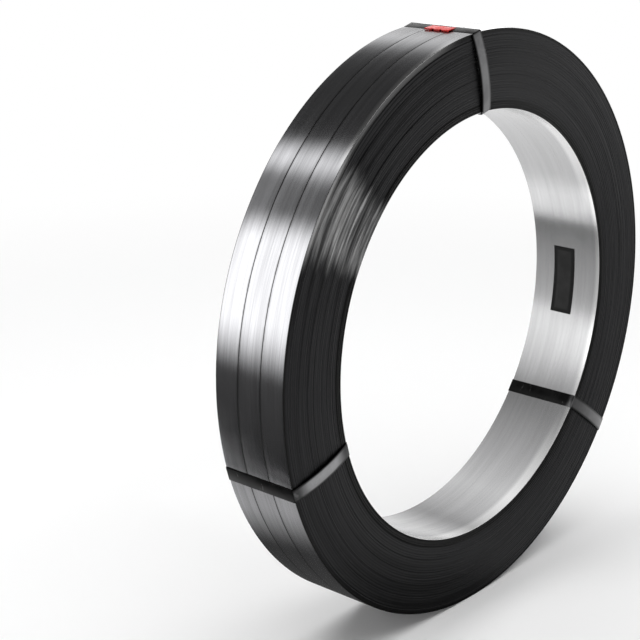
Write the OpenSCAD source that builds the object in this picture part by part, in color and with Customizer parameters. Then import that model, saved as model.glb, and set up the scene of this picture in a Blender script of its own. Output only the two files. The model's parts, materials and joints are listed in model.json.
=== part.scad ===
// Coil of flat steel strapping, wound in lanes side by side and held by three ties.
// Lengths are in millimetres. The coil stands on its rim with its axis along Y, its front end at -Y.

/* [Coil] */
// Diameter of the bore
bore_d = 406; // [300:1:510]
// Layers of strap from the bore to the rim
layers = 72; // [20:1:120]
// Radial room that one layer takes, strap and wax
layer_pitch = 1; // [0.5:0.05:2]
// Lanes of strap side by side
lanes = 3; // [1:1:5]
// Width of the strap
strap_w = 25; // [13:0.5:40]
// Gap between neighbouring lanes
lane_gap = 0.2; // [0.1:0.05:1]
// Depth of the lane gap at the rim and in the bore
lane_gap_depth = 0.6; // [0.2:0.1:3]

/* [Turns on the ends] */
// Distance by which the middle layers stand out of the front end
dish = 1.5; // [0:0.1:6]
// Step at which one bundle of layers ends and the next one starts
bundle_step = 1; // [0.1:0.1:4]
// Layers in a bundle
bundle_layers = 12; // [3:1:30]
// Distance by which a layer may stray from its bundle
stray = 0.3; // [0.05:0.05:1]
// Angle by which the stray steps from layer to layer
stray_angle = 137.5; // [5:0.5:175]

/* [Ties] */
// Width of a tie
tie_w = 13; // [8:0.5:25]
// Thickness of a tie
tie_t = 0.6; // [0.4:0.05:1]
// Bow of a tie over the front end, from the coil's edges to its middle
tie_bow = 4; // [2:0.25:8]
// Distance past the coil's edges at which a tie's bow starts
bow_past = 2.5; // [0.5:0.25:5]
// Gap that wax leaves between a curved face of the coil and what lies on it
seat = 0.2; // [0.05:0.05:0.5]
// Clock angle of the top tie on the rim
top_rim_angle = 95; // [60:1:120]
// Clock angle of the top tie in the bore
top_bore_angle = 91.5; // [60:0.5:120]
// Clock angle of the left tie
left_angle = 197.5; // [150:0.5:240]
// Clock angle of the right tie
right_angle = 324; // [290:1:350]

/* [Seal on the top tie] */
// Length of the seal along the tie
seal_l = 26; // [15:1:60]
// Thickness of the seal's sheet
seal_t = 0.8; // [0.5:0.1:2]
// Gap between the tie and the seal folded over it
seal_gap = 0.1; // [0.05:0.05:0.5]
// Radius of the crimp notches in the seal's sides
notch_r = 1.25; // [1:0.25:4]
// Crimp notches along each side of the seal
notches = 2; // [1:1:4]

/* [Label in the bore] */
// Width of the label along the axis
label_w = 24; // [10:0.5:40]
// Length of the label round the bore
label_l = 70; // [20:1:150]
// Thickness of the label
label_t = 0.25; // [0.1:0.05:1]
// Clock angle of the label's middle
label_angle = -1.5; // [-20:0.5:20]
// Offset of the label's middle towards the back end
label_back = 4; // [-20:0.5:20]

/* [Hidden] */
bore_r = bore_d / 2;
rim_r = bore_r + layers * layer_pitch;
lane_step = strap_w + lane_gap;
layer_w = lanes * strap_w + (lanes - 1) * lane_gap;
last = layers - 1;
full_turn = 360;
// Place of layer i between the bore, -1, and the rim, 1.
function layer_place(i) = (2 * i + 1) / layers - 1;
// Place of layer i in its bundle, from 0 at the inside; the first bundle starts with its outer half.
function bundle_place(i) = ((i + floor(bundle_layers / 2)) % bundle_layers) / bundle_layers;
// Within a bundle each layer stands a little further out than the one inside it; the next starts back.
drifts = [for (i = [0 : last]) dish * pow(layer_place(i), 2) + bundle_step * (1 - bundle_place(i))
  + stray / 2 * (1 + sin(stray_angle * i))];
half_w = (layer_w + max(drifts) - min(drifts)) / 2;
function layer_r(i) = bore_r + i * layer_pitch;
// Each layer keeps its full width, so what it draws back on the front end it puts out on the back end.
function front_end(i) = half_w + min(drifts) - drifts[i];
function back_end(i) = front_end(i) - layer_w;
// Front and back side of lane gap k in layer i.
function gap_front(i, k) = front_end(i) - k * lane_step + lane_gap;
function gap_back(i, k) = front_end(i) - k * lane_step;
// Angle that a length takes on a circle of radius r.
function arc_angle(length, r) = full_turn * length / (2 * PI * r);
function polar(r, a) = [r * cos(a), r * sin(a)];
front_pts = [for (i = [0 : last], s = [0, 1]) [layer_r(i + s), front_end(i)]];
back_pts = [for (i = [last : -1 : 0], s = [1, 0]) [layer_r(i + s), back_end(i)]];
rim_pts = [for (k = [1 : 1 : lanes - 1], q = [0 : 3])
  [rim_r - (q == 1 || q == 2 ? lane_gap_depth : 0), q < 2 ? gap_front(last, k) : gap_back(last, k)]];
bore_pts = [for (k = [lanes - 1 : -1 : 1], q = [0 : 3])
  [bore_r + (q == 1 || q == 2 ? lane_gap_depth : 0), q < 2 ? gap_back(0, k) : gap_front(0, k)]];
// Outer face of a tie on the rim.
tie_top = rim_r + seat + tie_t;
// Front edge of the coil, where a tie leaves the rim and the bore.
edge_h = max(front_end(0), front_end(last));
front_reach = edge_h + tie_bow + tie_t;
back_reach = half_w + tie_t;
// Length by which a slab or notch runs past what it cuts.
overrun = 6;
$fn = 180;

// Turns the coil's own frame, axis up and front end on top, into the standing one, centred along Y.
module stand() {
  translate([0, (front_reach - back_reach) / 2, rim_r]) rotate([90, 0, 0]) children();
}

// Ring between two radii and two heights, or the part of it that spans an angle from the X axis.
module ring(r0, r1, h0, h1, span = full_turn) {
  rotate_extrude(angle = span)
    translate([r0, h0]) square([r1 - r0, h1 - h0]);
}

// Frame of a tie: X runs from the bore to the rim along its line over the ends, Z stays the coil's axis.
module on_tie(rim_a, bore_a) {
  start = polar(bore_r, bore_a);
  run = polar(rim_r, rim_a) - start;
  translate([start[0], start[1], 0])
    rotate([0, 0, atan2(run[1], run[0])])
      children();
}

// Length of a tie's line over an end.
function run_l(rim_a, bore_a) = norm(polar(rim_r, rim_a) - polar(bore_r, bore_a));

// Slab, wide by w, that takes a tie's line over the ends out of a ring.
module tie_slab(rim_a, bore_a, w) {
  on_tie(rim_a, bore_a)
    translate([-overrun, -w / 2, -half_w - overrun])
      cube([run_l(rim_a, bore_a) + 2 * overrun, w, 2 * (half_w + overrun)]);
}

// Round bar across a tie, whose top is the tie's bow over the front end, larger by grow.
module bow_bar(rim_a, bore_a, grow) {
  chord = run_l(rim_a, bore_a) + 2 * bow_past;
  bow_r = (pow(chord / 2, 2) + pow(tie_bow, 2)) / (2 * tie_bow);
  on_tie(rim_a, bore_a)
    translate([run_l(rim_a, bore_a) / 2, tie_w, edge_h + tie_bow - bow_r])
      rotate([90, 0, 0])
        cylinder(r = bow_r + grow, h = 2 * tie_w);
}

// Flat tie round the coil's section, straight over the back end and bowed over the front end.
module tie(rim_a, bore_a) {
  color("gray")
    stand()
      difference() {
        intersection() {
          tie_slab(rim_a, bore_a, tie_w);
          ring(bore_r - seat - tie_t, tie_top, -back_reach, half_w + overrun);
          bow_bar(rim_a, bore_a, tie_t);
        }
        intersection() {
          ring(bore_r - seat, rim_r + seat, -half_w, half_w + 2 * overrun);
          bow_bar(rim_a, bore_a, 0);
        }
      }
}

module strap_coil() {
  color("dimgray")
    stand()
      rotate_extrude()
        polygon(concat(front_pts, rim_pts, back_pts, bore_pts));
}

module top_tie() {
  tie(top_rim_angle, top_bore_angle);
}

module left_tie() {
  tie(left_angle, left_angle);
}

module right_tie() {
  tie(right_angle, right_angle);
}

// Sheet seal folded over the top tie, its sides down to the rim and nipped by crimp notches.
module tie_seal() {
  fold_w = tie_w + 2 * seal_gap;
  fold_top = tie_top + seal_gap;
  seal_w = fold_w + 2 * seal_t;
  notch_step = seal_l / (notches + 1);
  notch_from = run_l(top_rim_angle, top_bore_angle) - overrun;
  color("red")
    stand()
      difference() {
        intersection() {
          tie_slab(top_rim_angle, top_bore_angle, seal_w);
          ring(rim_r + seat, fold_top + seal_t, -seal_l / 2, seal_l / 2);
        }
        intersection() {
          tie_slab(top_rim_angle, top_bore_angle, fold_w);
          ring(0, fold_top, -half_w, half_w);
        }
        on_tie(top_rim_angle, top_bore_angle)
          for (side = [-1, 1], k = [1 : notches])
            translate([notch_from, side * seal_w / 2, k * notch_step - seal_l / 2])
              rotate([0, 90, 0])
                cylinder(r = notch_r, h = 2 * overrun);
      }
}

module bore_label() {
  wall_r = bore_r - seat;
  span = arc_angle(label_l, wall_r);
  color("black")
    stand()
      rotate([0, 0, label_angle - span / 2])
        ring(wall_r - label_t, wall_r, -label_back - label_w / 2, label_w / 2 - label_back, span);
}

strap_coil();
top_tie();
left_tie();
right_tie();
tie_seal();
bore_label();
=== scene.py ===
"""Coil of flat steel strapping on a pale floor: the finish of its wound strap, ties, seal and label.

Lengths are in metres. The coil stands on its rim, with its axis along Y and its front end at -Y.
Clock angles turn from +X towards +Z about the coil's axis, as seen from the front end.
"""

import json
import math

import bpy
import numpy as np
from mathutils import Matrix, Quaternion, Vector

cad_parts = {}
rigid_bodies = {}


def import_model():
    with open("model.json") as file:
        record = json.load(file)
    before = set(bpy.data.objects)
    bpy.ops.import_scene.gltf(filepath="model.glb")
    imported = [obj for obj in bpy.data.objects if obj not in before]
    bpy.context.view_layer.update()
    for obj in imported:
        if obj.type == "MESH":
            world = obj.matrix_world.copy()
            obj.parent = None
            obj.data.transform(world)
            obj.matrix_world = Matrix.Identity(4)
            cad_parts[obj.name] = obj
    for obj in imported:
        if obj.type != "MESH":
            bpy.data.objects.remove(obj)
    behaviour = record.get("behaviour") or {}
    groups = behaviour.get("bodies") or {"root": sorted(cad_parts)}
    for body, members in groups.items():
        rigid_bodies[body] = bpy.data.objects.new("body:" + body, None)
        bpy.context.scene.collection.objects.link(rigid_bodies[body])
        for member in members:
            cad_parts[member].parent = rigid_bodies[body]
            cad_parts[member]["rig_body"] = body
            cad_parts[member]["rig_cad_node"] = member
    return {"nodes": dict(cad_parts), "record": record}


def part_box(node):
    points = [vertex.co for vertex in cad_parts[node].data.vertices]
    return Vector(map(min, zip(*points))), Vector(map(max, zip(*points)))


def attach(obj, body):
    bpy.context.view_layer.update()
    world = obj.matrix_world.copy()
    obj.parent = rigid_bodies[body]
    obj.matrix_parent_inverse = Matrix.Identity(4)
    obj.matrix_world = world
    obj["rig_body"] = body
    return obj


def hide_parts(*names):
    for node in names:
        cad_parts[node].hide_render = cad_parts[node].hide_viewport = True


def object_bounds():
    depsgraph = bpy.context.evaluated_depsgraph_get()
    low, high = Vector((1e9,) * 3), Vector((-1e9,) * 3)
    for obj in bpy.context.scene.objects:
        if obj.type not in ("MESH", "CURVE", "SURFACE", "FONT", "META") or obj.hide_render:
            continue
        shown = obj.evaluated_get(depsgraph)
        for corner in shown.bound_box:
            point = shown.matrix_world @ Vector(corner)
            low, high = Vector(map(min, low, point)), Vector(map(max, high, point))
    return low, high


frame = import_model()
cad_low, cad_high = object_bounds()

MM = 0.001
TINY = 1e-6

# Coil, from the frame
coil_low, coil_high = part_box("strap_coil")
bore_mount = frame["record"]["mounts"][0]
BORE_R = bore_mount["dims"]["r_mm"] * MM
LAYER_W = bore_mount["dims"]["length_mm"] * MM
AXIS_Z = bore_mount["pos_m"][2]
RIM_R = (coil_high.x - coil_low.x) / 2
FRONT_Y = coil_low.y
BACK_Y = coil_high.y
MID_Y = (FRONT_Y + BACK_Y) / 2
CENTRE = Vector((0, 0, AXIS_Z))

# Layers and lanes of the strap; the bore shows only a share of the lanes' relief
LAYERS = 72
LAST = LAYERS - 1
PITCH = (RIM_R - BORE_R) / LAYERS
LANES = 3
LANE_GAP = 0.2 * MM
LANE_GAP_DEPTH = 0.6 * MM
LANE_STEP = (LAYER_W + LANE_GAP) / LANES
STRAP_W = LANE_STEP - LANE_GAP
LANE_CROWN = 0.02 * MM
EDGE_DROP = 0.06 * MM
BORE_LANE_SHARE = 0.05
SPIN_STEPS = 180

# Points across one lane of the rim or bore as shares of the strap's width, and their drop off the edge
LANE_SHARES = (0, 0.006, 0.02, 0.25, 0.5, 0.75, 0.98, 0.994, 1)
EDGE_DROP_SHARES = (1, 0.3, 0, 0, 0, 0, 0, 0.3, 1)

# Points of a layer on the ends, as shares of its pitch: the groove and the two edges of the strap's side
LAYER_EDGE_SHARE = 0.12
LAYER_SHARES = (0, LAYER_EDGE_SHARE, 1 - LAYER_EDGE_SHARE)

# Turns on the ends; the innermost and outermost edges stay in place
GROOVE = 0.22 * MM
DISH = 1.5 * MM
BUNDLE_LAYERS = 12
BUNDLE_STEP = 0.25 * MM
BUNDLE_RISE_SHARE = 0.1
STRAY = 0.2 * MM
STRAY_ANGLE = math.radians(137.5)
MOST_WAVES = 3
LOOSE_ANGLE = math.radians(146)
LOOSE_SPAN = math.radians(14)
LOOSE_STEP = 1.2 * MM
LOOSE_RISE_SHARE = 0.34
KEPT_EDGE_SHARE = 0.05

# Depths over the bore or under the rim at which the strap's finish starts to change and has changed
END_START = (0.2 * PITCH, 0.35 * PITCH)
# Painted reflection: the bore's lighter copy of the strap steel
BORE_STEEL = (1.2 * PITCH, 0.8 * PITCH)
# Painted shade: the darkest end turns next to the bore and the rim
BORE_SHADE_TURNS = (9 * PITCH, 7 * PITCH)
RIM_SHADE_TURNS = (3.5 * PITCH, 2 * PITCH)
# Painted highlight on the outer turns of the front end
HIGHLIT_TURNS = (6 * PITCH, 2.5 * PITCH)
FRONT_FADE = 1 * MM

# Painted reflection on the front end: a bright patch, in rows
REFLECTION_ANGLE = math.radians(145.5)
REFLECTION_SPAN = math.radians(6)
REFLECTION_FRAY = math.radians(6)
ROW_CONTRAST = 1.5
DULL_ROW_SHARE = 0.12

# Clock angle from which a painted highlight lies along the front edge, and those to which it runs on the
# rim and on the outer turns
HIGHLIGHT_START = math.radians(99)
RIM_HIGHLIGHT_STOP = math.radians(140)
TURNS_HIGHLIGHT_STOP = math.radians(158)
HIGHLIGHT_FADE = math.radians(9)

# Painted highlight along the bore's front lip, wider towards the bottom and the top, by the sine of the
# clock angle
LIP_W = 5 * MM
WIDE_LIP_W = 12 * MM
LIP_FADE = 3 * MM
LOW_SINES = (-0.6, -0.85)
HIGH_SINES = (0.3, 0.75)

# Darker dashes along the gaps between the lanes on the rim, and the dark edges of the strap; the dashes
# start and are full at two shares of a lane from the coil's ends
GAP_DASH_W = 2.2 * MM
GAP_DASH_CORE_SHARE = 0.2
GAP_DASH_DARKNESS = 0.55
GAP_DASH_START_SHARE = 0.2
GAP_DASH_FULL_SHARE = 0.4
STRAP_EDGE_W = 0.8 * MM
STRAP_EDGE_CORE_SHARE = 0.5

# Ties, with the clock angles in degrees of each on the rim and in the bore
TIE_ANGLES = {"top_tie": (95, 91.5), "left_tie": (197.5, 197.5), "right_tie": (324, 324)}
TIE_W = 13 * MM
TIE_T = 0.6 * MM
TIE_SEAT = 0.2 * MM
TIE_BOW = 4 * MM
TIE_BOW_PAST = 2.5 * MM
TIE_BOW_CUTS = 15
TIE_BEND_R = 1.2 * MM
TIE_BEND_STEPS = 5
TIE_EDGE_R = 0.12 * MM

# Painted highlight on the ties over the ends: its strength from the bow's foot to its crest, or from the
# bore to the rim
LEFT_TIE_HIGHLIGHT = (0.12, 1.15)
TOP_TIE_HIGHLIGHT = (0.62, 0.5)
RIGHT_TIE_HIGHLIGHT = (0.17, 0.55)
BEND_HIGHLIGHT = 0.4
CREST_SHARE = 0.7

# Where that painted highlight starts and is full: cosines of the clock angle for the side ties, the part of
# a face's normal along the axis, and the share of a tie's half width
LEFT_COSINES = (-0.3, -0.5)
RIGHT_COSINES = (0.3, 0.5)
HIGHLIT_NORMALS = (0.5, 0.93)
HIGHLIT_SHARES = (0.95, 0.55)

# Seal and label
SEAL_EDGE_R = 0.2 * MM
LABEL_ANGLE = math.radians(-1.5)
LABEL_SPAN = math.radians(19.8)
LABEL_W = 24 * MM
LABEL_BORDER = 2.5 * MM

# Shading and rounding of edges
SMOOTH_ANGLE = math.radians(35)
SHARP_ANGLE = math.radians(50)
FLAT_ANGLE = math.radians(1)
EDGE_STEPS = 2

# Camera, aimed left of the coil's middle as in the photograph; angles in degrees
CAMERA_AZIMUTH = 48.98
CAMERA_ELEVATION = 17.62
CAMERA_DISTANCE = 1.478
CAMERA_LENS = 89.6
SENSOR = 36
AIM_LEFT = 0.1504
AIM_UP = 0.0072
AIM_Y = -0.0358

# Floor, with the distances at which it starts to turn plain white and has turned
FLOOR_SIZE = 16
FLOOR_WHITE = (0.7, 1.8)

# Elevations between which the room falls off from white to dark
CEILING_START = math.radians(2)
CEILING_STOP = math.radians(46)

# Share of a card's width over which it fades out at each side, and turns of the cards in degrees
CARD_FADE = 0.22
UPRIGHT = (90, 0, 90)
LYING = (0, 0, -90)


# Modelling helpers

def deselect_all():
    """Leaves edit mode and deselects every object."""
    if bpy.context.object and bpy.context.object.mode != "OBJECT":
        bpy.ops.object.mode_set(mode="OBJECT")
    bpy.ops.object.select_all(action="DESELECT")


def pick(piece, wanted):
    """Selects the vertices of a piece that a test on their place picks out, and enters edit mode."""
    bpy.ops.object.mode_set(mode="EDIT")
    bpy.ops.mesh.select_mode(type="VERT")
    bpy.ops.mesh.select_all(action="DESELECT")
    bpy.ops.object.mode_set(mode="OBJECT")
    for vertex in piece.data.vertices:
        vertex.select = wanted(vertex.co)
    bpy.ops.object.mode_set(mode="EDIT")


def add_loop(name, middle, width, depth):
    """New rectangle of four edges with no face, left in edit mode."""
    deselect_all()
    bpy.ops.mesh.primitive_plane_add(size=1, location=middle)
    piece = bpy.context.object
    piece.name = name
    piece.scale = (width, depth, 1)
    bpy.ops.object.transform_apply(location=True, rotation=True, scale=True)
    bpy.ops.object.mode_set(mode="EDIT")
    bpy.ops.mesh.select_all(action="SELECT")
    bpy.ops.mesh.delete(type="ONLY_FACE")
    return piece


def apply_modifier(piece, kind, **settings):
    modifier = piece.modifiers.new(kind.lower(), kind)
    for name, value in settings.items():
        setattr(modifier, name, value)
    bpy.ops.object.modifier_apply(modifier=modifier.name)


def round_edges(piece, radius):
    apply_modifier(piece, "BEVEL", width=radius, segments=EDGE_STEPS, limit_method="ANGLE",
                   angle_limit=SHARP_ANGLE)


def smooth_by_angle():
    bpy.ops.object.mode_set(mode="OBJECT")
    bpy.ops.object.shade_smooth_by_angle(angle=SMOOTH_ANGLE)


def close_and_turn_out():
    """Merges doubles and turns the faces of the piece in edit mode outwards."""
    bpy.ops.mesh.select_all(action="SELECT")
    bpy.ops.mesh.remove_doubles(threshold=TINY)
    bpy.ops.mesh.normals_make_consistent(inside=False)


# Wound strap

def bundle_share(layer, rise):
    """Share of the bundle's step by which a layer lies back: up over the rise, then down again."""
    place = ((layer + BUNDLE_LAYERS // 2) % BUNDLE_LAYERS) / BUNDLE_LAYERS
    return np.where(place < rise, place / rise, (1 - place) / (1 - rise))


def layer_back(layer, angle, loose):
    """Distance by which a layer lies back of the coil's front plane at a clock angle."""
    place = (2 * layer + 1) / LAYERS - 1
    rise = BUNDLE_RISE_SHARE + LOOSE_RISE_SHARE * loose
    step = BUNDLE_STEP + LOOSE_STEP * loose
    waves = layer % MOST_WAVES + 1
    stray = STRAY / 2 * (1 + np.sin(STRAY_ANGLE * layer + waves * angle))
    return DISH * place ** 2 + step * bundle_share(layer, rise) + stray


def loose_share(angle):
    """How loose the turns lie at a clock angle: 1 in the middle of the loose stretch, 0 away from it."""
    off = np.angle(np.exp(1j * (angle - LOOSE_ANGLE)))
    return np.exp(-(off / LOOSE_SPAN) ** 2)


FIRST_GAP_Y = FRONT_Y + float(layer_back(LAST, 0, 0)) + LANE_STEP - LANE_GAP / 2


def layer_station(point):
    """Radius of a point of an end, counted from the bore."""
    layer, part = divmod(point, len(LAYER_SHARES))
    return BORE_R + PITCH * (layer + LAYER_SHARES[part])


def lane_stations():
    """Distance from the front edge and depth under the crown of each point across the lanes."""
    stations = []
    for lane in range(LANES):
        start = lane * LANE_STEP
        if lane:
            stations.append((start - LANE_GAP, LANE_GAP_DEPTH))
            stations.append((start, LANE_GAP_DEPTH))
        for share, drop in zip(LANE_SHARES, EDGE_DROP_SHARES):
            crown = LANE_CROWN * (2 * share - 1) ** 2
            stations.append((start + share * STRAP_W, crown + drop * EDGE_DROP))
    return stations


def place_section(piece, stations):
    """Puts the points of the flat section where the layers and lanes have theirs."""
    ends = len(LAYER_SHARES) * LAYERS
    sides = len(stations) - 1
    for vertex in piece.data.vertices:
        x, y, _ = vertex.co
        along = (x - BORE_R) / (RIM_R - BORE_R)
        across = (y - FRONT_Y) / (BACK_Y - FRONT_Y)
        if abs(along) < TINY or abs(along - 1) < TINY:
            offset, depth = stations[round(across * sides)]
            layer = LAST if along > 0.5 else 0
            vertex.co.x = RIM_R - depth if layer else BORE_R + BORE_LANE_SHARE * depth
            vertex.co.y = FRONT_Y + float(layer_back(layer, 0, 0)) + offset
        else:
            vertex.co.x = layer_station(round(along * ends))


def wander_turns(piece):
    """Lets each layer between the outermost and the innermost stray along the axis as it goes round."""
    mesh = piece.data
    places = np.empty(len(mesh.vertices) * 3)
    mesh.vertices.foreach_get("co", places)
    places = places.reshape(-1, 3)
    radius = np.hypot(places[:, 0], places[:, 2] - AXIS_Z)
    angle = np.arctan2(places[:, 2] - AXIS_Z, places[:, 0])
    level = (radius - BORE_R) / PITCH
    groove = np.abs(level - np.round(level)) < LAYER_EDGE_SHARE / 2
    layer = np.clip(np.floor(level + LAYER_EDGE_SHARE / 2), 0, LAST)
    between = (level > KEPT_EDGE_SHARE) & (level < LAYERS - KEPT_EDGE_SHARE)
    for end_y in (FRONT_Y, BACK_Y):
        at_front = end_y == FRONT_Y
        loose = loose_share(angle) if at_front else np.zeros_like(angle)
        back = layer_back(layer, angle, loose)
        inner = layer_back(np.maximum(layer - 1, 0), angle, loose)
        if at_front:
            end = FRONT_Y + np.where(groove, np.maximum(back, inner) + GROOVE, back)
        else:
            end = FRONT_Y + LAYER_W + np.where(groove, np.minimum(back, inner) - GROOVE, back)
        moved = between & (np.abs(places[:, 1] - end_y) < TINY)
        places[moved, 1] = end[moved]
    mesh.vertices.foreach_set("co", places.ravel())
    mesh.update()


def make_wound_strap():
    """Section of the wound strap, with its layers and lanes, spun round the coil's axis."""
    stations = lane_stations()
    middle = ((BORE_R + RIM_R) / 2, MID_Y, AXIS_Z)
    piece = add_loop("wound_strap", middle, RIM_R - BORE_R, BACK_Y - FRONT_Y)
    for end_y in (FRONT_Y, BACK_Y):
        pick(piece, lambda co, y=end_y: abs(co.y - y) < TINY)
        bpy.ops.mesh.subdivide(number_cuts=len(LAYER_SHARES) * LAYERS - 1)
    for side_x in (BORE_R, RIM_R):
        pick(piece, lambda co, x=side_x: abs(co.x - x) < TINY)
        bpy.ops.mesh.subdivide(number_cuts=len(stations) - 2)
    bpy.ops.object.mode_set(mode="OBJECT")
    place_section(piece, stations)
    bpy.ops.object.mode_set(mode="EDIT")
    bpy.ops.mesh.select_all(action="SELECT")
    bpy.ops.mesh.spin(steps=SPIN_STEPS, angle=2 * math.pi, center=CENTRE, axis=(0, 1, 0))
    close_and_turn_out()
    bpy.ops.object.mode_set(mode="OBJECT")
    wander_turns(piece)
    smooth_by_angle()
    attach(piece, "root")
    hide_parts("strap_coil")
    return piece


# Ties and seal

def polar(radius, degrees):
    angle = math.radians(degrees)
    return Vector((radius * math.cos(angle), 0, radius * math.sin(angle)))


def make_tie(node, rim_angle, bore_angle):
    """Flat tie round the coil's section: a loop in the X-Y plane, bowed in front, pulled along Z."""
    start = polar(BORE_R, bore_angle)
    run = polar(RIM_R, rim_angle) - start
    inner_x = -TIE_SEAT - TIE_T / 2
    outer_x = run.length + TIE_SEAT + TIE_T / 2
    low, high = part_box(node)
    crest_y = low.y + TIE_T / 2
    chord = run.length + 2 * TIE_BOW_PAST
    edge_y = crest_y + TIE_BOW * (run.length / chord) ** 2
    back_y = high.y - TIE_T / 2
    middle = ((inner_x + outer_x) / 2, (edge_y + back_y) / 2, 0)
    piece = add_loop(node + "_band", middle, outer_x - inner_x, back_y - edge_y)
    bpy.ops.mesh.select_all(action="SELECT")
    bpy.ops.mesh.bevel(offset=TIE_BEND_R, segments=TIE_BEND_STEPS, affect="VERTICES")
    pick(piece, lambda co: abs(co.y - edge_y) < TINY)
    bpy.ops.mesh.subdivide(number_cuts=TIE_BOW_CUTS)
    bpy.ops.object.mode_set(mode="OBJECT")
    for vertex in piece.data.vertices:
        if abs(vertex.co.y - edge_y) < TINY:
            share = (2 * vertex.co.x - run.length) / chord
            vertex.co.y = min(edge_y, crest_y + TIE_BOW * share ** 2)
    bpy.ops.object.mode_set(mode="EDIT")
    bpy.ops.mesh.select_all(action="SELECT")
    bpy.ops.transform.translate(value=(0, 0, -TIE_W / 2))
    bpy.ops.mesh.extrude_region_move(TRANSFORM_OT_translate={"value": (0, 0, TIE_W)})
    close_and_turn_out()
    bpy.ops.object.mode_set(mode="OBJECT")
    apply_modifier(piece, "SOLIDIFY", thickness=TIE_T, offset=0, use_even_offset=True)
    round_edges(piece, TIE_EDGE_R)
    across = piece.data.attributes.new("across", "FLOAT", "POINT")
    for vertex, share in zip(piece.data.vertices, across.data):
        share.value = vertex.co.z / (TIE_W / 2)
    piece.rotation_euler = (0, -math.atan2(run.z, run.x), 0)
    piece.location = CENTRE + start
    bpy.ops.object.transform_apply(location=True, rotation=True, scale=True)
    smooth_by_angle()
    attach(piece, "root")
    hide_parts(node)
    return piece


def make_seal():
    """The folded seal with its sheet's edges rounded."""
    deselect_all()
    node = frame["nodes"]["tie_seal"]
    piece = node.copy()
    piece.data = node.data.copy()
    piece.name = "folded_seal"
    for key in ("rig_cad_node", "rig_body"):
        del piece[key]
    piece.parent = None
    bpy.context.collection.objects.link(piece)
    piece.select_set(True)
    bpy.context.view_layer.objects.active = piece
    bpy.ops.object.mode_set(mode="EDIT")
    bpy.ops.mesh.select_all(action="SELECT")
    bpy.ops.mesh.remove_doubles(threshold=TINY)
    bpy.ops.mesh.dissolve_limited(angle_limit=FLAT_ANGLE)
    bpy.ops.object.mode_set(mode="OBJECT")
    round_edges(piece, SEAL_EDGE_R)
    smooth_by_angle()
    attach(piece, "root")
    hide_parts("tie_seal")
    return piece


# Shader helpers

def add_node(tree, kind, feeds=None, **settings):
    """New node with its settings; a feed is a socket to link or a value to set."""
    made = tree.nodes.new(kind)
    for name, value in settings.items():
        setattr(made, name, value)
    for name, value in (feeds or {}).items():
        feed(tree, made.inputs[name], value)
    return made


def feed(tree, socket, value):
    if isinstance(value, bpy.types.NodeSocket):
        tree.links.new(value, socket)
    else:
        socket.default_value = value


def maths(tree, operation, *feeds):
    return add_node(tree, "ShaderNodeMath", dict(enumerate(feeds)), operation=operation).outputs[0]


def product(tree, first, *others):
    for other in others:
        first = maths(tree, "MULTIPLY", first, other)
    return first


def mean(tree, first, second):
    return maths(tree, "ADD", product(tree, first, 0.5), product(tree, second, 0.5))


def off_by(tree, value, place):
    return maths(tree, "ABSOLUTE", maths(tree, "SUBTRACT", value, place))


def ramp_mask(tree, value, low, high):
    """Smooth mask that goes from 0 at low to 1 at high."""
    feeds = {"Value": value, "From Min": low, "From Max": high}
    return add_node(tree, "ShaderNodeMapRange", feeds, interpolation_type="SMOOTHSTEP").outputs["Result"]


def mix_value(tree, share, first, second):
    """Value that goes from one number to another with a share."""
    feeds = {"Value": share, "To Min": first, "To Max": second}
    return add_node(tree, "ShaderNodeMapRange", feeds).outputs["Result"]


def blend(tree, share, first, second):
    """Value between two values that change over the surface."""
    return add_node(tree, "ShaderNodeMix", {"Factor": share, "A": first, "B": second}).outputs[0]


def mix_colour(tree, share, first, second):
    made = add_node(tree, "ShaderNodeMix", data_type="RGBA")
    sockets = [s for s in made.inputs if s.enabled]
    for socket, value in zip(sockets, (share, first, second)):
        feed(tree, socket, value)
    return next(s for s in made.outputs if s.enabled)


def grey(value, blue=1.0):
    """Neutral colour, or one that leans a little to blue."""
    return (value, value, value * blue, 1)


def new_group(name, inputs, outputs):
    tree = bpy.data.node_groups.new(name, "ShaderNodeTree")
    for socket, default in inputs.items():
        made = tree.interface.new_socket(name=socket, in_out="INPUT", socket_type="NodeSocketFloat")
        made.default_value = default
    for socket in outputs:
        tree.interface.new_socket(name=socket, in_out="OUTPUT", socket_type="NodeSocketFloat")
    return tree, add_node(tree, "NodeGroupInput").outputs, add_node(tree, "NodeGroupOutput").inputs


def use_group(tree, group, **values):
    """Outputs of a group placed in a material with its own values."""
    made = add_node(tree, "ShaderNodeGroup", node_tree=group)
    for name, value in values.items():
        made.inputs[name.replace("_", " ")].default_value = value
    return made.outputs


def new_material(name):
    material = bpy.data.materials.new(name)
    material.use_nodes = True
    tree = material.node_tree
    return material, tree, tree.nodes["Principled BSDF"]


def dress(piece, material):
    """Gives a piece one material."""
    piece.data.materials.clear()
    piece.data.materials.append(material)


# Places on the coil

def coil_place_nodes(tree):
    """Radius from the coil's axis, place along it, and the cosine and sine of the clock angle."""
    coordinates = add_node(tree, "ShaderNodeTexCoord").outputs["Object"]
    centred = add_node(tree, "ShaderNodeMapping", {"Vector": coordinates, "Location": (0, 0, -AXIS_Z)})
    x, y, z = add_node(tree, "ShaderNodeSeparateXYZ", {"Vector": centred.outputs[0]}).outputs
    radius = maths(tree, "SQRT", maths(tree, "ADD", product(tree, x, x), product(tree, z, z)))
    return radius, y, maths(tree, "DIVIDE", x, radius), maths(tree, "DIVIDE", z, radius)


def over_bore(tree, radius, depths):
    return ramp_mask(tree, radius, BORE_R + depths[0], BORE_R + depths[1])


def under_rim(tree, radius, depths):
    return ramp_mask(tree, radius, RIM_R - depths[0], RIM_R - depths[1])


def lip_mask(tree, along, width):
    """Mask of the strip along the front edge with a given width."""
    return ramp_mask(tree, along, FRONT_Y + width + LIP_FADE, FRONT_Y + width - LIP_FADE)


# Effects that several finishes share

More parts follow.
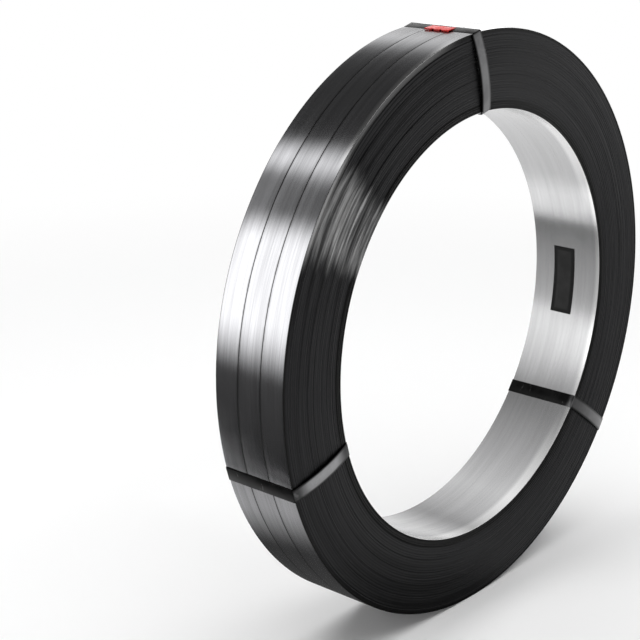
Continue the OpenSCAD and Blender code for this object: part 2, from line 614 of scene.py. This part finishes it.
def make_rolling_lines():
    """Lines that run round the coil: they vary along the axis on the faces, with the radius on the ends."""
    inputs = {"Round Scale": 3.0, "Face Scale": 900.0, "End Scale": 700.0}
    tree, given, result = new_group("rolling_lines", inputs, ("Face Lines", "End Lines"))
    radius, along, cosine, sine = coil_place_nodes(tree)
    around_x = product(tree, cosine, given["Round Scale"])
    around_z = product(tree, sine, given["Round Scale"])
    for place, scale, name in ((along, "Face Scale", "Face Lines"), (radius, "End Scale", "End Lines")):
        across = product(tree, place, given[scale])
        vector = add_node(tree, "ShaderNodeCombineXYZ", {"X": around_x, "Y": across, "Z": around_z})
        feeds = {"Vector": vector.outputs[0], "Scale": 1.0, "Detail": 4.0, "Roughness": 0.65}
        noise = add_node(tree, "ShaderNodeTexNoise", feeds)
        tree.links.new(ramp_mask(tree, noise.outputs["Fac"], 0.3, 0.7), result[name])
    return tree


def make_handling_marks():
    """Cloudy film and fine scratches from handling."""
    inputs = {"Film Scale": 18.0, "Scratch Scale": 120.0}
    tree, given, result = new_group("handling_marks", inputs, ("Film", "Scratches"))
    coordinates = add_node(tree, "ShaderNodeTexCoord").outputs["Object"]
    feeds = {"Vector": coordinates, "Scale": given["Film Scale"], "Detail": 5.0, "Roughness": 0.6}
    film = add_node(tree, "ShaderNodeTexNoise", feeds)
    tree.links.new(ramp_mask(tree, film.outputs["Fac"], 0.32, 0.68), result["Film"])
    feeds = {"Vector": coordinates, "Rotation": (0.4, 0.7, 0.3), "Scale": (0.12, 1.0, 0.35)}
    turned = add_node(tree, "ShaderNodeMapping", feeds)
    feeds = {"Vector": turned.outputs[0], "Scale": given["Scratch Scale"], "Detail": 3.0}
    scratch = add_node(tree, "ShaderNodeTexNoise", feeds)
    tree.links.new(ramp_mask(tree, scratch.outputs["Fac"], 0.64, 0.72), result["Scratches"])
    return tree


rolling_lines = make_rolling_lines()
handling_marks = make_handling_marks()


# Finishes

def strap_finish():
    """Dark waxed steel: satin faces on the rim; a near-black copy of it on the ends as painted shade; a
    lighter copy in the bore as painted reflection; painted highlights on some edges and turns.
    """
    material, tree, shader = new_material("waxed_strap_steel")
    radius, along, cosine, sine = coil_place_nodes(tree)
    angle = maths(tree, "ARCTAN2", sine, cosine)
    lines = use_group(tree, rolling_lines, Round_Scale=2.0, Face_Scale=380.0, End_Scale=420.0)
    streaks = use_group(tree, rolling_lines, Round_Scale=1.2, Face_Scale=110.0, End_Scale=160.0)
    dashes = use_group(tree, rolling_lines, Round_Scale=22.0, Face_Scale=60.0)["Face Lines"]
    rows = use_group(tree, rolling_lines, Round_Scale=2.5, End_Scale=150.0)["End Lines"]
    film = use_group(tree, handling_marks, Film_Scale=14.0)["Film"]
    face_lined = mean(tree, lines["Face Lines"], streaks["Face Lines"])
    end_lined = mean(tree, lines["End Lines"], streaks["End Lines"])
    on_end = product(tree, over_bore(tree, radius, END_START), under_rim(tree, radius, END_START))
    in_front = ramp_mask(tree, along, MID_Y + FRONT_FADE, MID_Y - FRONT_FADE)
    front_lip = lip_mask(tree, along, LIP_W)
    past_start = ramp_mask(tree, angle, HIGHLIGHT_START, HIGHLIGHT_START + HIGHLIGHT_FADE)
    past_start = product(tree, past_start, in_front)

    # Rim: lined steel with darker dashes along the lane gaps, and a painted highlight along the front edge
    rim = mix_colour(tree, face_lined, grey(0.22, 1.03), grey(0.34, 1.03))
    lane_place = maths(tree, "DIVIDE", maths(tree, "SUBTRACT", along, FIRST_GAP_Y), LANE_STEP)
    off_gap = off_by(tree, lane_place, maths(tree, "ROUND", lane_place))
    off_middle = off_by(tree, lane_place, LANES / 2 - 1)
    off_edges = ramp_mask(tree, off_middle, LANES / 2 - GAP_DASH_START_SHARE, LANES / 2 - GAP_DASH_FULL_SHARE)
    gap_dashes = ramp_mask(tree, off_gap, GAP_DASH_W / LANE_STEP, GAP_DASH_CORE_SHARE * GAP_DASH_W / LANE_STEP)
    gap_dashes = product(tree, gap_dashes, off_edges, dashes, GAP_DASH_DARKNESS)
    edge_share = STRAP_EDGE_W / LANE_STEP
    strap_edge = ramp_mask(tree, off_gap, edge_share, STRAP_EDGE_CORE_SHARE * edge_share)
    rim = mix_colour(tree, maths(tree, "MAXIMUM", gap_dashes, strap_edge), rim, grey(0.05))
    # Painted highlight along the rim's front edge
    painted_highlight = ramp_mask(tree, angle, RIM_HIGHLIGHT_STOP, RIM_HIGHLIGHT_STOP - HIGHLIGHT_FADE)
    rim = mix_colour(tree, product(tree, painted_highlight, past_start, front_lip), rim, grey(0.62))

    # Bore: a lighter copy of the strap steel as painted reflection, with a painted highlight along the lip
    # Painted highlight along the bore's lip, wide at the bottom and the top
    low = ramp_mask(tree, sine, *LOW_SINES)
    high = ramp_mask(tree, sine, *HIGH_SINES)
    wide_lip = product(tree, lip_mask(tree, along, WIDE_LIP_W), maths(tree, "MAXIMUM", low, high))
    bore = mix_colour(tree, face_lined, grey(0.49, 1.01), grey(0.56, 1.01))
    bore = mix_colour(tree, maths(tree, "MAXIMUM", front_lip, wide_lip), bore, grey(0.78))

    # Ends: a near-black copy of the strap steel as painted shade, darkest next to the rim and the bore,
    # with a painted highlight on the outer turns and a painted reflection patch
    end = mix_colour(tree, end_lined, grey(0.014, 1.04), grey(0.035, 1.04))
    shade_by_rim = under_rim(tree, radius, RIM_SHADE_TURNS)
    shade_by_bore = over_bore(tree, radius, BORE_SHADE_TURNS)
    end = mix_colour(tree, maths(tree, "MAXIMUM", shade_by_rim, shade_by_bore), end, grey(0.01))
    # Painted highlight on the outer turns, brighter from the reflection patch on
    painted_highlight = ramp_mask(tree, angle, TURNS_HIGHLIGHT_STOP, TURNS_HIGHLIGHT_STOP - HIGHLIGHT_FADE)
    painted_highlight = product(tree, painted_highlight, past_start, under_rim(tree, radius, HIGHLIT_TURNS))
    # Painted reflection: a patch of bright rows on the front end
    patch_start = REFLECTION_ANGLE - REFLECTION_SPAN
    before_patch = ramp_mask(tree, angle, patch_start, patch_start - REFLECTION_FRAY)
    end = mix_colour(tree, painted_highlight, end, mix_colour(tree, before_patch, grey(0.38), grey(0.13)))
    fray = product(tree, streaks["End Lines"], REFLECTION_FRAY / 2)
    off_patch = maths(tree, "ADD", off_by(tree, angle, REFLECTION_ANGLE), fray)
    reflection_patch = ramp_mask(tree, off_patch, REFLECTION_SPAN + REFLECTION_FRAY, REFLECTION_SPAN)
    row_share = mix_value(tree, maths(tree, "POWER", rows, ROW_CONTRAST), DULL_ROW_SHARE, 1.0)
    end = mix_colour(tree, product(tree, reflection_patch, in_front, row_share), end, grey(0.42))

    colour = mix_colour(tree, over_bore(tree, radius, BORE_STEEL), rim, bore)
    tree.links.new(mix_colour(tree, on_end, colour, end), shader.inputs["Base Color"])
    face_rough = mix_value(tree, film, 0.16, 0.22)
    end_rough = mix_value(tree, end_lined, 0.46, 0.6)
    tree.links.new(blend(tree, on_end, face_rough, end_rough), shader.inputs["Roughness"])
    tangent = add_node(tree, "ShaderNodeTangent", direction_type="RADIAL", axis="Y")
    tree.links.new(tangent.outputs[0], shader.inputs["Tangent"])
    shader.inputs["Anisotropic"].default_value = 0.5
    shader.inputs["Anisotropic Rotation"].default_value = 0.25
    shader.inputs["Metallic"].default_value = 1.0
    return material


def tie_finish():
    """Black oxide on the ties, with a painted highlight in grey steel along their middle over the ends and
    at the bore; the highlight keeps off their edges.
    """
    material, tree, shader = new_material("blued_tie_steel")
    marks = use_group(tree, handling_marks, Film_Scale=60.0, Scratch_Scale=300.0)
    radius, along, cosine, _ = coil_place_nodes(tree)
    normal = add_node(tree, "ShaderNodeNewGeometry").outputs["Normal"]
    normal_y = add_node(tree, "ShaderNodeSeparateXYZ", {"Vector": normal}).outputs["Y"]
    over_end = ramp_mask(tree, maths(tree, "ABSOLUTE", normal_y), *HIGHLIT_NORMALS)
    across = add_node(tree, "ShaderNodeAttribute", attribute_name="across").outputs["Fac"]
    middle = ramp_mask(tree, maths(tree, "ABSOLUTE", across), *HIGHLIT_SHARES)
    crest = ramp_mask(tree, along, cad_low.y + CREST_SHARE * TIE_BOW, cad_low.y)
    to_rim = ramp_mask(tree, radius, BORE_R, RIM_R)
    on_left = ramp_mask(tree, cosine, *LEFT_COSINES)
    on_right = ramp_mask(tree, cosine, *RIGHT_COSINES)
    # Painted highlight on the tie runs over the ends, along the bow's crest on the left tie
    tie_highlight = blend(tree, on_left, mix_value(tree, to_rim, *TOP_TIE_HIGHLIGHT), mix_value(tree, crest, *LEFT_TIE_HIGHLIGHT))
    tie_highlight = blend(tree, on_right, tie_highlight, mix_value(tree, to_rim, *RIGHT_TIE_HIGHLIGHT))
    # Painted highlight at each tie's bend into the bore, beside the bore's lip
    bend = ramp_mask(tree, radius, BORE_R + TIE_BEND_R, BORE_R)
    bend_highlight = product(tree, bend, lip_mask(tree, along, LIP_W), BEND_HIGHLIGHT)
    tie_highlight = maths(tree, "MAXIMUM", product(tree, tie_highlight, over_end, middle), bend_highlight)
    black = mix_colour(tree, marks["Film"], grey(0.008), grey(0.016))
    steel = mix_colour(tree, marks["Film"], grey(0.22, 1.02), grey(0.32, 1.02))
    colour = mix_colour(tree, tie_highlight, black, steel)
    colour = mix_colour(tree, product(tree, marks["Scratches"], 0.2), colour, grey(0.3))
    tree.links.new(colour, shader.inputs["Base Color"])
    tree.links.new(mix_value(tree, marks["Film"], 0.28, 0.42), shader.inputs["Roughness"])
    shader.inputs["Metallic"].default_value = 1.0
    return material


def seal_finish():
    """Red paint with scratches down to the steel."""
    material, tree, shader = new_material("red_seal_paint")
    marks = use_group(tree, handling_marks, Film_Scale=70.0, Scratch_Scale=420.0)
    paint = mix_colour(tree, marks["Film"], (0.5, 0.022, 0.02, 1), (0.66, 0.045, 0.036, 1))
    bare = product(tree, marks["Scratches"], 0.7)
    tree.links.new(mix_colour(tree, bare, paint, grey(0.3)), shader.inputs["Base Color"])
    tree.links.new(bare, shader.inputs["Metallic"])
    tree.links.new(mix_value(tree, marks["Film"], 0.3, 0.48), shader.inputs["Roughness"])
    return material


def label_finish():
    """Matt black film with faint scuffs, a little paler inside its border."""
    material, tree, shader = new_material("black_label_film")
    marks = use_group(tree, handling_marks, Film_Scale=50.0, Scratch_Scale=260.0)
    radius, along, cosine, sine = coil_place_nodes(tree)
    angle = maths(tree, "ARCTAN2", sine, cosine)
    label_low, label_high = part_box("bore_label")
    off_middle = off_by(tree, along, (label_low.y + label_high.y) / 2)
    to_side = maths(tree, "SUBTRACT", LABEL_W / 2, off_middle)
    off_angle = off_by(tree, angle, LABEL_ANGLE)
    to_end = product(tree, maths(tree, "SUBTRACT", LABEL_SPAN / 2, off_angle), radius)
    inside = ramp_mask(tree, maths(tree, "MINIMUM", to_side, to_end), LABEL_BORDER, 2 * LABEL_BORDER)
    film = mix_colour(tree, marks["Film"], grey(0.013), grey(0.024))
    film = mix_colour(tree, inside, grey(0.004), film)
    scuffed = product(tree, marks["Scratches"], 0.25)
    tree.links.new(mix_colour(tree, scuffed, film, grey(0.12)), shader.inputs["Base Color"])
    tree.links.new(mix_value(tree, marks["Film"], 0.5, 0.65), shader.inputs["Roughness"])
    shader.inputs["Specular IOR Level"].default_value = 0.2
    return material


# Studio

def show_mix(tree, share, first, second):
    """Shows one shader or another on a stage piece, by a share."""
    mixed = add_node(tree, "ShaderNodeMixShader", {0: share, 1: first.outputs[0], 2: second.outputs[0]})
    tree.links.new(mixed.outputs[0], tree.nodes["Material Output"].inputs["Surface"])


def make_floor():
    """White floor that keeps the coil's shadow; far from the coil it shows as plain white."""
    deselect_all()
    bpy.ops.mesh.primitive_plane_add(size=FLOOR_SIZE, location=(0, 0, 0))
    floor = bpy.context.object
    floor.name = "floor"
    material, tree, shader = new_material("white_floor")
    shader.inputs["Base Color"].default_value = grey(0.93)
    shader.inputs["Roughness"].default_value = 0.9
    shader.inputs["Specular IOR Level"].default_value = 0.2
    place = add_node(tree, "ShaderNodeTexCoord").outputs["Object"]
    away = add_node(tree, "ShaderNodeVectorMath", {0: place}, operation="LENGTH").outputs["Value"]
    far = ramp_mask(tree, away, *FLOOR_WHITE)
    light_path = add_node(tree, "ShaderNodeLightPath").outputs
    seen = maths(tree, "MAXIMUM", light_path["Is Camera Ray"], light_path["Is Glossy Ray"])
    seen = maths(tree, "MAXIMUM", seen, light_path["Is Transmission Ray"])
    white = add_node(tree, "ShaderNodeEmission", {"Color": grey(1.0), "Strength": 1.0})
    show_mix(tree, product(tree, far, seen), shader, white)
    dress(floor, material)


def towards(azimuth, elevation):
    """Unit direction at an azimuth, from +Y towards +X, and an elevation, in degrees."""
    a, e = math.radians(azimuth), math.radians(elevation)
    return Vector((math.sin(a) * math.cos(e), math.cos(a) * math.cos(e), math.sin(e)))


def add_softbox(name, azimuth, elevation, distance, size, radiance, roll=0):
    """Area lamp that faces the coil's middle, with a given brightness of its face; reflections miss it."""
    lamp = bpy.data.lights.new(name, "AREA")
    lamp.shape = "RECTANGLE"
    lamp.size, lamp.size_y = size
    lamp.energy = radiance * math.pi * size[0] * size[1]
    box = bpy.data.objects.new(name, lamp)
    bpy.context.scene.collection.objects.link(box)
    direction = towards(azimuth, elevation)
    box.location = CENTRE + direction * distance
    turn = direction.to_track_quat("Z", "Y") @ Quaternion((0, 0, 1), math.radians(roll))
    box.rotation_euler = turn.to_euler()
    box.visible_camera = False
    box.visible_glossy = False


def add_card(name, middle, turn, size, start, stop, end_fade):
    """Plain soft-edged card, even in brightness or in its run from start to stop, for reflections only."""
    deselect_all()
    bpy.ops.mesh.primitive_plane_add(size=1, location=middle, rotation=[math.radians(a) for a in turn])
    card = bpy.context.object
    card.name = name
    card.scale = (size[0], size[1], 1)
    material, tree, _ = new_material(name)
    place = add_node(tree, "ShaderNodeTexCoord").outputs["Generated"]
    across, along, _ = add_node(tree, "ShaderNodeSeparateXYZ", {"Vector": place}).outputs
    from_side = maths(tree, "MINIMUM", across, maths(tree, "SUBTRACT", 1.0, across))
    from_end = maths(tree, "MINIMUM", along, maths(tree, "SUBTRACT", 1.0, along))
    shown = product(tree, ramp_mask(tree, from_side, 0, CARD_FADE), ramp_mask(tree, from_end, 0, end_fade))
    strength = start if start == stop else mix_value(tree, along, start, stop)
    glow = add_node(tree, "ShaderNodeEmission", {"Strength": strength})
    show_mix(tree, shown, add_node(tree, "ShaderNodeBsdfTransparent"), glow)
    dress(card, material)
    for ray in ("camera", "diffuse", "shadow", "transmission", "volume_scatter"):
        setattr(card, "visible_" + ray, False)


def make_world():
    """White at the horizon, falling off to dark overhead."""
    world = bpy.data.worlds.new("studio")
    bpy.context.scene.world = world
    world.use_nodes = True
    tree = world.node_tree
    background = tree.nodes["Background"]
    direction = add_node(tree, "ShaderNodeTexCoord").outputs["Generated"]
    height = add_node(tree, "ShaderNodeSeparateXYZ", {"Vector": direction}).outputs["Z"]
    ceiling = ramp_mask(tree, height, math.sin(CEILING_START), math.sin(CEILING_STOP))
    tree.links.new(mix_colour(tree, ceiling, grey(1.0), grey(0.09)), background.inputs["Color"])
    background.inputs["Strength"].default_value = 1.0


def make_camera():
    forward = towards(CAMERA_AZIMUTH, -CAMERA_ELEVATION)
    right = towards(CAMERA_AZIMUTH + 90, 0)
    up = right.cross(forward)
    aim = Vector((0, AIM_Y, AXIS_Z)) - AIM_LEFT * right + AIM_UP * up
    data = bpy.data.cameras.new("camera")
    data.sensor_width = SENSOR
    data.lens = CAMERA_LENS
    camera = bpy.data.objects.new("camera", data)
    bpy.context.scene.collection.objects.link(camera)
    camera.location = aim - CAMERA_DISTANCE * forward
    camera.rotation_euler = forward.to_track_quat("-Z", "Y").to_euler()
    bpy.context.scene.camera = camera


make_camera()
make_world()
make_floor()
add_softbox("left_window", azimuth=-47.3, elevation=14.8, distance=5.2, size=(0.95, 3.4), radiance=4.4,
            roll=14)
add_softbox("overhead", azimuth=0, elevation=90, distance=2.4, size=(4.0, 4.0), radiance=2.05)

# Cards for the rim: name, middle, turn, width and length, brightness at both ends, fade of the ends
add_card("left_softbox", (-0.4, 0.13, 0.425), UPRIGHT, (0.32, 0.36), 3.6, 3.6, 0.3)
add_card("left_backing", (-0.41, 0.065, 0.32), UPRIGHT, (0.53, 0.86), 0, 0.32, 0.12)
add_card("foot_flag", (-0.385, 0.065, 0.001), LYING, (0.53, 0.08), 0.15, 0.15, 0.4)
# Dark card on the floor under the coil: it stands in for the floor's shade there, as the lower rim reflects
# it
add_card("under_flag", (-0.104, 0.023, 0.001), (0, 0, -108), (0.4, 0.45), 0.08, 0.08, 0.25)
add_card("strip_softbox", (-0.33, 0.3, 0.785), (22, 0, -90), (0.42, 0.18), 2.5, 2.5, 0.5)
add_card("top_softbox", (0.155, 0.2, 0.69), (-32, 0, -90), (0.42, 0.17), 1.4, 1.4, 0.5)
add_card("back_softbox", (0.33, 0.25, 0.6), (-55, 0, -90), (0.44, 0.15), 2.6, 2.6, 0.25)

# Cards for the bore
add_card("bore_window", (-0.41, 0.43, 0.5), UPRIGHT, (0.42, 0.6), 1.65, 0.45, 0.05)
add_card("bore_grey_card", (-0.05, 0.2, 0.139), UPRIGHT, (0.34, 0.212), 0.12, 0.7, 0.04)
add_card("bore_floor_card", (0.01, 0.25, 0.002), LYING, (0.34, 0.18), 1.4, 1.4, 0.35)
add_card("bore_left_card", (0.07, 0.27, 0.5), LYING, (0.46, 0.44), 0.2, 1.1, 0.03)
add_card("bore_right_card", (0.54, 0.4, 0.505), LYING, (0.72, 0.62), 1.05, 0.4, 0.03)
bpy.context.scene.view_settings.view_transform = "Standard"

dress(make_wound_strap(), strap_finish())
tie_steel = tie_finish()
for tie_node, tie_angles in TIE_ANGLES.items():
    dress(make_tie(tie_node, *tie_angles), tie_steel)
dress(make_seal(), seal_finish())
frame["nodes"]["bore_label"].material_slots[0].material = label_finish()
